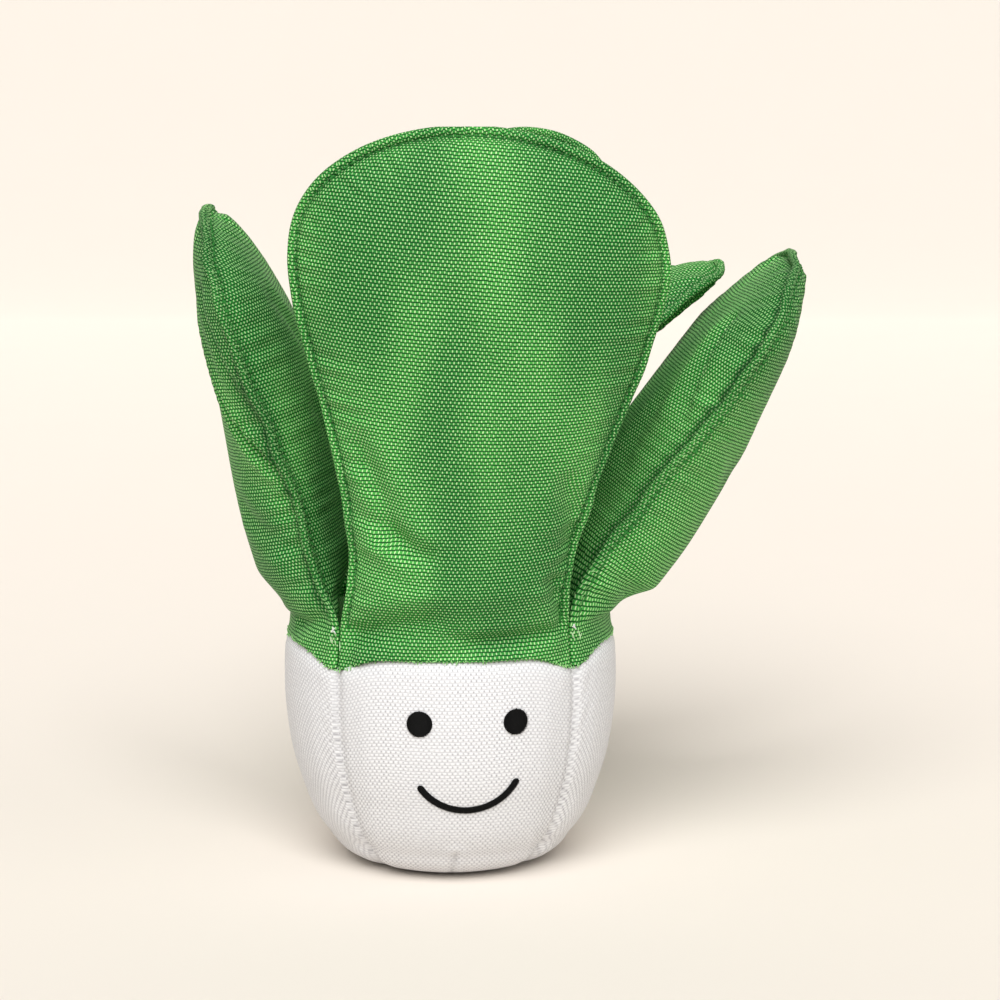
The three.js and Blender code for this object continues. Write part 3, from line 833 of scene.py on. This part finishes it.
def close_top(sewing, points, cloth):
    """Hidden white cloth under the green hem: a lip turned in, and a flat top."""
    edge = points[-1]
    shrink = 1 - TOP_LIP / BULB_PROFILE[-1][0]
    inward = edge * [shrink, shrink, 1] + [0, 0, 0.2]
    centre = np.broadcast_to([0, 0, BORDER_HEIGHT - BORDER_DIP], edge.shape)
    middle = lerp(inward, centre, 0.5)
    sewing.add(np.stack([edge, inward, middle, centre]), np.broadcast_to(cloth[-1], (4, *cloth[-1].shape)))


def bulb_moves(columns=17, rows=30, bottom_rows=COARSE_BOTTOM_ROWS):
    """How far the stuffing pushes each gore, on a coarse grid."""
    sewing, indices, seams = Sewing(), [], []
    for azimuth in GORE_AZIMUTHS:
        points, cloth, _ = gore_grid(azimuth, columns, rows, bottom_rows)
        points = turned(points, azimuth)
        index = sewing.add(points, cloth)
        close_top(sewing, points, cloth)
        indices.append(index)
        fixed = np.concatenate([index[:, 0], index[:, -1], index[: bottom_rows + 1].ravel(), index[-1]])
        seams.append(np.concatenate([fixed, np.arange(sewing.count - 4 * columns, sewing.count)]))
    mesh, weld = sewing.mesh("filling", SIM_SCALE)
    sewn = np.unique(weld[np.concatenate(seams)])
    move = filling_moves(mesh, sewn, BULB_PRESSURE, BULB_SLACK, BULB_CAP)
    return [move[weld[index]] for index in indices]


def bulb_mesh(name, simulate):
    moves = bulb_moves() if simulate else [None] * 4
    sewing, gores = Sewing(), []
    for azimuth, move in zip(GORE_AZIMUTHS, moves):
        points, cloth, shade = gore_grid(azimuth)
        points = turned(points, azimuth)
        if move is not None:
            bottom = np.linspace(0, COARSE_BOTTOM_ROWS, BOTTOM_ROWS, endpoint=False)
            wall = np.linspace(COARSE_BOTTOM_ROWS, len(move) - 1, GORE_ROWS - BOTTOM_ROWS)
            points = points + refined(move, np.concatenate([bottom, wall]), GORE_COLUMNS)
        points[..., 2] = np.maximum(points[..., 2], 0)
        sewing.add(points, cloth, shade)
        close_top(sewing, points, cloth)
        gores.append(points)
    mesh, _ = sewing.mesh(name)
    return mesh, gores[0]


def gore_surface(gore, sideways, height):
    """Places and outward directions on the front gore, at distances round it from the smile's middle."""
    angle = np.degrees(sideways / bulb_radius(height)) + FACE_TURN - GORE_TURN
    columns = (angle / GORE_HALF + 1) / 2 * (GORE_COLUMNS - 1)
    wall = gore[BOTTOM_ROWS:]
    points = []
    for column, level in zip(columns, height):
        low = int(np.floor(column))
        line = lerp(wall[:, low], wall[:, low + 1], column - low)
        points.append([np.interp(level, line[:, 2], line[:, k]) for k in range(2)] + [level])
    points = np.array(points)
    slope = bulb_radius(points[:, 2] + 0.5) - bulb_radius(points[:, 2] - 0.5)
    out = points[:, :2] / np.linalg.norm(points[:, :2], axis=1, keepdims=True)
    normal = np.concatenate([out, -slope[:, None]], axis=1)
    return points, normal / np.linalg.norm(normal, axis=1, keepdims=True)


# Embroidered face

def satin(name, gore, places, runs, reaches, thread):
    """Satin stitches side by side: places and directions are flat, then laid on the bulb."""
    places, runs = np.array(places), np.array(runs)
    points, normal = gore_surface(gore, places[:, 0], places[:, 1])
    ahead, _ = gore_surface(gore, places[:, 0] + 0.4 * runs[:, 0], places[:, 1] + 0.4 * runs[:, 1])
    direction = ahead - points
    direction /= np.linalg.norm(direction, axis=1, keepdims=True)
    return stitched(name, points + SATIN_LIFT * normal, direction, reaches, SATIN_RADIUS, thread)


def ground_faces(gore, rows):
    """Raised ground under the satin stitches: its two faces, from rows of flat places with their lift."""
    over, under = [], []
    for row in rows:
        points, normal = gore_surface(gore, row[:, 0], row[:, 1])
        over.append(points + row[:, 2:] * normal)
        under.append(points - GROUND_DEPTH * normal)
    return np.stack(over), np.stack(under)


def eye(name, gore, sideways, thread):
    step = SATIN_PITCH
    levels = np.arange(-EYE_RADIUS + step, EYE_RADIUS, step)
    chords = 2 * np.sqrt(EYE_RADIUS**2 - levels**2)
    places = [(sideways, EYE_HEIGHT + level) for level in levels]
    piece = satin(name, gore, places, [(1.0, 0.0)] * len(levels), chords + 0.2, thread)
    sectors, rings = 28, (1.0, 0.94, 0.8, 0.5, 0.0)
    rows = []
    for ring in rings:
        turn = np.linspace(0, 2 * math.pi, sectors + 1)
        reach = 0.97 * EYE_RADIUS * ring
        lift = 0.45 * np.sqrt(max(0.0, 1 - ring**4)) + 0 * turn
        height = EYE_HEIGHT + reach * np.sin(turn)
        rows.append(np.stack([sideways + reach * np.cos(turn), height, lift], -1))
    over, under = ground_faces(gore, rows)
    over[:, -1], under[:, -1] = over[:, 0], under[:, 0]
    return with_ground(piece, over, under, thread)


def smile(name, gore, thread):
    arc = (SMILE_HALF**2 + SMILE_DEPTH**2) / (2 * SMILE_DEPTH)
    half = math.asin(SMILE_HALF / arc)
    centre = SMILE_HEIGHT + arc * math.cos(half)
    right = half + SMILE_LIFT
    turns = np.arange(-half, right, SATIN_PITCH / arc)
    places = [(arc * math.sin(turn), centre - arc * math.cos(turn)) for turn in turns]
    runs = [(math.sin(turn + 0.25), -math.cos(turn + 0.25)) for turn in turns]
    to_end = np.minimum(turns + half, right - turns) * arc / (SMILE_STROKE / 2)
    reaches = (SMILE_STROKE + 0.15) * np.sqrt(1 - (1 - np.clip(to_end + 0.08, 0, 1)) ** 2)
    piece = satin(name, gore, places, runs, reaches, thread)
    rows = []
    for turn in lerp(-half, right, 0.5 + 0.5 * np.sin(np.linspace(-math.pi / 2, math.pi / 2, 60))):
        to_end = min(turn + half, right - turn) * arc / (SMILE_STROKE / 2)
        thick = SMILE_STROKE * math.sqrt(1 - (1 - min(to_end + 0.02, 1)) ** 2)
        reach = arc + np.linspace(-0.47, 0.47, 7) * thick
        lift = 0.4 * np.sqrt(1 - np.linspace(-1, 1, 7) ** 2)
        rows.append(np.stack([reach * math.sin(turn), centre - reach * math.cos(turn), lift], -1))
    over, under = ground_faces(gore, rows)
    return with_ground(piece, over, under, thread)


def with_ground(piece, over, under, thread):
    """Joins the raised ground to the stitches on it."""
    sewing = Sewing()
    cloth = np.zeros((*over.shape[:2], 2))
    sewing.add(over, cloth)
    sewing.add(under, cloth)
    sewing.strip(over[0], under[0], cloth[0], cloth[0])
    sewing.strip(over[-1], under[-1], cloth[0], cloth[0])
    if not np.allclose(over[:, 0], over[:, -1]):
        sewing.strip(over[:, 0], under[:, 0], cloth[:, 0], cloth[:, 0])
        sewing.strip(over[:, -1], under[:, -1], cloth[:, 0], cloth[:, 0])
    ground, _ = sewing.mesh("ground")
    work = bmesh.new()
    work.from_mesh(piece.data)
    work.from_mesh(ground)
    work.to_mesh(piece.data)
    work.free()
    bpy.data.meshes.remove(ground)
    piece.data.materials.clear()
    piece.data.materials.append(thread)
    return piece


# Materials

class Value:
    """A shader socket that takes part in Python arithmetic: each operation adds a Math node."""

    def __init__(self, shader, socket):
        self.shader, self.socket = shader, socket

    def math(self, operation, *others):
        inputs = dict(enumerate((self, *others)))
        return self.shader.node("ShaderNodeMath", {"operation": operation}, inputs)

    def __add__(self, other):
        return self.math("ADD", other)

    def __sub__(self, other):
        return self.math("SUBTRACT", other)

    def __mul__(self, other):
        return self.math("MULTIPLY", other)

    def __abs__(self):
        return self.math("ABSOLUTE")


class Shader:
    """A material's node tree, with one method for every node."""

    def __init__(self, name):
        self.material = bpy.data.materials.new(name)
        self.material.use_nodes = True
        self.tree = self.material.node_tree
        self.surface = self.tree.nodes["Principled BSDF"]

    def node(self, kind, settings=None, inputs=None, output=0):
        made = self.tree.nodes.new(kind)
        for key, value in (settings or {}).items():
            setattr(made, key, value)
        self.fill(made, inputs or {})
        return Value(self, made.outputs[output])

    def fill(self, made, inputs):
        for key, value in inputs.items():
            if isinstance(value, Value):
                self.tree.links.new(value.socket, made.inputs[key])
            else:
                made.inputs[key].default_value = value

    def split(self, vector):
        """The first two parts of a vector."""
        parts = self.node("ShaderNodeSeparateXYZ", {}, {0: vector}).socket.node.outputs
        return Value(self, parts[0]), Value(self, parts[1])

    def join(self, x, y):
        return self.node("ShaderNodeCombineXYZ", {}, {0: x, 1: y})

    def step(self, value, low, high):
        """Soft step from 0 to 1 between two values."""
        return self.node("ShaderNodeMapRange", {"interpolation_type": "SMOOTHSTEP"},
                         {"Value": value, "From Min": low, "From Max": high})

    def finish(self, **inputs):
        self.fill(self.surface, {key.replace("_", " "): value for key, value in inputs.items()})
        return self.material


def mix_colour(shader, factor, *colours):
    """Goes from the first colour to the second; each is a triple or another node's value."""
    first, second = (colour if isinstance(colour, Value) else (*colour, 1) for colour in colours)
    return shader.node("ShaderNodeMix", {"data_type": "RGBA"}, {0: factor, 6: first, 7: second}, output=2)


def noise(shader, place, scale, detail):
    return shader.node("ShaderNodeTexNoise", {}, {"Vector": place, "Scale": scale, "Detail": detail})


def plain_weave(name, warp_pitch, weft_pitch, gap, weft_dark, weft_light, crown, crown_rise, sheen, tint):
    """Coarse plain weave: rows of weft, gaps between them, and a crown wherever the warp comes over.

    Its gap colour is painted shade between the threads; its crown colour is a painted highlight where
    crowns rise and painted shade where they sink into pits. The mesh's shade attribute paints more shade
    along stitches, seams and the dart and under laps.
    """
    shader = Shader(name)
    cloth = shader.node("ShaderNodeUVMap", {"uv_map": "cloth"})
    x, y = shader.split(cloth)
    wobble = noise(shader, cloth, 55.0, 1.0) - 0.5
    streak = noise(shader, shader.join(x, y * 0.4), 3.5, 1.0)
    sparkle = noise(shader, cloth, 160.0, 0.0)
    across = x * (UV_UNIT / warp_pitch) + wobble * 0.5
    along = y * (UV_UNIT / weft_pitch) + wobble * 0.5
    warp = (across * math.pi).math("SINE")
    weft = (along * math.pi).math("SINE")
    # Crowns, unevenly bright: painted highlights on the green cloth, painted shade in the pits of the white
    # cloth.
    over = shader.step(warp * weft, 0.2, 0.85) * (shader.step(sparkle, 0.25, 0.6) * 0.5 + 0.5)
    rows = shader.step(abs(weft), 0.12, 0.8)
    threads = shader.step(abs(warp), 0.0, 0.6)
    # Broad streaks of darker and lighter weft: uneven yarn tone, and also painted light and shade standing
    # in for broad bands of light across the faces.
    bright = shader.step(streak, 0.35, 0.65)
    body = mix_colour(shader, bright, weft_dark, weft_light)
    # Towards the gap colour between rows and threads: painted shade in the weave's gaps.
    body = mix_colour(shader, rows * (threads * 0.45 + 0.55), gap, body)
    colour = mix_colour(shader, over * (bright * 0.25 + 0.75), body, crown)
    # Painted shade from the mesh's shade attribute, towards a deep gap colour.
    shade = shader.node("ShaderNodeAttribute", {"attribute_name": "shade"}, output=2)
    colour = mix_colour(shader, shade * 0.85, colour, [0.45 * channel for channel in gap])
    height = rows * 0.6 + threads * 0.1 + over * crown_rise
    bump = shader.node("ShaderNodeBump", {}, {"Strength": 0.6, "Distance": 0.16 * MM, "Height": height})
    return shader.finish(Base_Color=colour, Roughness=0.6, Normal=bump, Sheen_Weight=sheen,
                         Sheen_Roughness=0.45, Sheen_Tint=(*tint, 1), Specular_IOR_Level=0.1)


def sewing_thread(name, dark, light, rough=0.5):
    """Twisted thread: fine bands that wind round each stitch."""
    shader = Shader(name)
    place = shader.node("ShaderNodeTexCoord", {}, {}, output=3)
    bands = shader.node("ShaderNodeTexWave", {"wave_type": "BANDS", "bands_direction": "DIAGONAL"},
                        {"Vector": place, "Scale": 1400.0, "Distortion": 1.5})
    colour = mix_colour(shader, bands, dark, light)
    bump = shader.node("ShaderNodeBump", {}, {"Strength": 0.35, "Distance": 0.1 * MM, "Height": bands})
    return shader.finish(Base_Color=colour, Roughness=rough, Normal=bump, Specular_IOR_Level=0.1)


def floor_paper(name):
    shader = Shader(name)
    place = shader.node("ShaderNodeTexCoord", {}, {}, output=3)
    mottle = noise(shader, place, 9.0, 3.0)
    colour = mix_colour(shader, mottle, (0.80, 0.742, 0.672), (0.81, 0.752, 0.682))
    # Painted shade from the mesh's shade attribute: darker where the backdrop faces the key light more
    # squarely.
    shade = shader.node("ShaderNodeAttribute", {"attribute_name": "shade"}, output=2)
    colour = mix_colour(shader, shade, colour, (0, 0, 0))
    return shader.finish(Base_Color=colour, Roughness=0.95, Specular_IOR_Level=0.1)


# Gap colours are painted shade between threads; the green crown is a painted highlight and the white crown
# painted shade in pits.
GREEN_CLOTH = plain_weave(
    "green_cloth", WARP_PITCH, WEFT_PITCH, gap=(0.002, 0.05, 0.008), weft_dark=(0.02, 0.21, 0.03),
    weft_light=(0.065, 0.40, 0.06), crown=(0.6, 0.88, 0.42), crown_rise=0.3, sheen=0.02,
    tint=(0.45, 0.95, 0.3))
WHITE_CLOTH = plain_weave(
    "white_cloth", WHITE_WARP_PITCH, WEFT_PITCH, gap=(0.6, 0.6, 0.62), weft_dark=(0.79, 0.79, 0.8),
    weft_light=(0.83, 0.83, 0.84), crown=(0.38, 0.37, 0.39), crown_rise=-0.35, sheen=0.05,
    tint=(1, 1, 1))
GREEN_THREAD = sewing_thread("green_thread", (0.01, 0.10, 0.02), (0.06, 0.28, 0.055), rough=0.7)
EDGING_THREAD = sewing_thread("edging_thread", (0.09, 0.36, 0.08), (0.45, 0.76, 0.33), rough=0.7)
PALE_THREAD = sewing_thread("pale_thread", (0.35, 0.55, 0.28), (0.62, 0.80, 0.50))
WHITE_THREAD = sewing_thread("white_thread", (0.6, 0.6, 0.58), (0.9, 0.9, 0.88))
BLACK_THREAD = sewing_thread("black_thread", (0.002, 0.002, 0.002), (0.006, 0.006, 0.006), rough=0.6)


def dress(piece, material, slot, *nodes, fill=None):
    """Sets a piece's finish and the body that it rides on, and hides the solids that it stands for; the
    slot is not used.
    """
    if not piece.data.materials:
        piece.data.materials.append(material)
    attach(piece, "root")
    if nodes:
        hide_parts(*nodes)
    return piece


TOP_HEIGHT = 69.2
TOP_RADIUS = 43.2
TOP_DOME = 1.2
TOP_DENT = 0.9
TOP_CLOTH = 0.9


def top_panel_mesh(name, rings=16, sectors=96):
    """Round green panel between the leaves, pushed up by the stuffing and drawn in at the leaves' seams."""
    reach = np.linspace(0, 1, rings)[:, None]
    turn = np.linspace(0, 2 * math.pi, sectors + 1)[None]
    seam = np.abs(np.sin(2 * (turn - math.radians(GORE_TURN)) + math.pi / 2))
    lift = TOP_HEIGHT + TOP_DOME * (1 - reach**2) - TOP_DENT * hump(seam, 0, 0.12) * reach
    radius = TOP_RADIUS * reach
    over = np.stack([radius * np.cos(turn), radius * np.sin(turn), lift + 0 * turn], -1)
    over[:, -1] = over[:, 0]
    under = over - [0, 0, TOP_CLOTH]
    cloth = over[..., :2]
    sewing = Sewing()
    sewing.add(over, cloth)
    sewing.add(under, cloth)
    sewing.strip(over[-1], under[-1], cloth[-1], cloth[-1])
    return sewing.mesh(name)[0]


OVERLOCKED = ("leaf_left", "leaf_right", "heart_leaf")


def make_toy(simulate):
    for name, sizes in LEAVES.items():
        leaf = Leaf(**sizes)
        mesh, lines = leaf_mesh(name, leaf, simulate, has_collar=name != "heart_leaf")
        nodes = [f"{name}_{layer}" for layer in ("outer", "inner", "wadding")]
        dress(new_object(f"padded_{name}", mesh), GREEN_CLOTH, "green_cloth", *nodes, fill=0.6)
        stitches = rim_stitches(f"rim_stitches_{name}", lines[RIM_WIDTH], GREEN_THREAD)
        dress(stitches, GREEN_THREAD, "green_cloth")
        if name in OVERLOCKED:
            starts, ends = (lines[reach] for reach in OVERLOCK_REACH)
            edging = overlock(f"overlock_{name}", starts, ends, EDGING_THREAD)
            dress(edging, EDGING_THREAD, "green_cloth")
    hems = np.concatenate([hem_places(azimuth) for azimuth in GORE_AZIMUTHS])
    hem = frayed_threads("hem_threads", hems, EDGING_THREAD,
                         count=1, spread=0.14, length=1.6, radius=0.2, seed=3)
    dress(hem, EDGING_THREAD, "green_cloth")
    seams = [GORE_TURN + GORE_HALF + 90 * turn for turn in range(4)]
    loose = frayed_threads("seam_ends", crotch_places(seams, drop=2.0, out=0.5), PALE_THREAD,
                           count=6, spread=0.8, length=2.8, radius=0.14, seed=8)
    dress(loose, PALE_THREAD, "green_cloth")
    knots = frayed_threads("seam_knots", crotch_places(seams, drop=-0.5, out=0.9), WHITE_THREAD,
                           count=6, spread=0.35, length=1.3, radius=0.18, seed=5)
    dress(knots, WHITE_THREAD, "white_cloth")
    mesh, front_gore = bulb_mesh("padded_bulb", simulate)
    gores = [f"bulb_panel_{side}" for side in ("front", "right", "back", "left")]
    dress(new_object("padded_bulb", mesh), WHITE_CLOTH, "white_cloth", *gores, "bulb_stuffing", fill=0.85)
    top = new_object("padded_bulb_top", top_panel_mesh("padded_bulb_top"))
    dress(top, GREEN_CLOTH, "green_cloth", "bulb_top_panel", fill=0.5)
    for name, side in (("eye_left", -1), ("eye_right", 1)):
        piece = eye(f"embroidered_{name}", front_gore, side * EYE_SPACING / 2, BLACK_THREAD)
        dress(piece, BLACK_THREAD, "black_thread", name)
    dress(smile("embroidered_smile", front_gore, BLACK_THREAD), BLACK_THREAD, "black_thread", "smile")


# Floor, light and camera

KEY_LIGHT = (0.1, 1.0, -1.05)
BACKDROP_PAINTED_SHADE = 0.8


def studio_floor():
    """Pale floor that curves up into a backdrop, with painted shade where it faces the key light more
    squarely, so that it looks evenly lit.
    """
    front, back, bend, tall, half = -2.5, 1.6, 0.8, 2.6, 3.0
    turn = np.linspace(0, math.pi / 2, 24)
    curve = zip(back + bend * np.sin(turn), bend - bend * np.cos(turn))
    profile = [(front, 0.0), *curve, (back + bend, tall)]
    turns = np.concatenate([turn[:1], turn, turn[-1:]])
    facing = np.cos(turns) * -KEY_LIGHT[2] + np.sin(turns) * KEY_LIGHT[1]
    shade = 1 - facing[0] / facing
    points = np.array([[(side * half, y, z) for side in (-1, 1)] for y, z in profile]) / MM
    sewing = Sewing()
    sewing.add(points, points[..., :2], BACKDROP_PAINTED_SHADE * np.stack([shade, shade], -1))
    mesh, _ = sewing.mesh("studio_floor")
    floor = new_object("studio_floor", mesh)
    mesh.flip_normals()
    mesh.materials.append(floor_paper("floor_paper"))


def soft_sun(name, towards, strength, spread):
    """Even light from a wide direction, so that floor and backdrop are lit alike."""
    light = bpy.data.lights.new(name, "SUN")
    light.energy, light.angle = strength, math.radians(spread)
    lamp = bpy.data.objects.new(name, light)
    lamp.rotation_euler = Vector(towards).to_track_quat("-Z", "Y").to_euler()
    bpy.context.scene.collection.objects.link(lamp)


def studio():
    studio_floor()
    world = bpy.data.worlds.new("studio")
    world.use_nodes = True
    world.node_tree.nodes["Background"].inputs["Color"].default_value = (1.0, 0.985, 0.97, 1)
    world.node_tree.nodes["Background"].inputs["Strength"].default_value = 0.3
    bpy.context.scene.world = world
    bpy.context.scene.view_settings.view_transform = "Standard"
    soft_sun("key", KEY_LIGHT, strength=3.2, spread=45)
    soft_sun("fill", (-0.9, 0.8, -0.8), strength=0.45, spread=60)


def camera():
    aim, distance, elevation = Vector((0.014, 0, 0.1015)), 0.8, math.radians(9)
    view = bpy.data.cameras.new("camera")
    view.sensor_width, view.lens = 36.0, 102.9
    eye_point = bpy.data.objects.new("camera", view)
    eye_point.location = aim + distance * Vector((0, -math.cos(elevation), math.sin(elevation)))
    eye_point.rotation_euler = (aim - eye_point.location).to_track_quat("-Z", "Y").to_euler()
    view.clip_start, view.clip_end = 0.05, 20
    bpy.context.scene.collection.objects.link(eye_point)
    bpy.context.scene.camera = eye_point


camera()
studio()
make_toy(simulate=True)
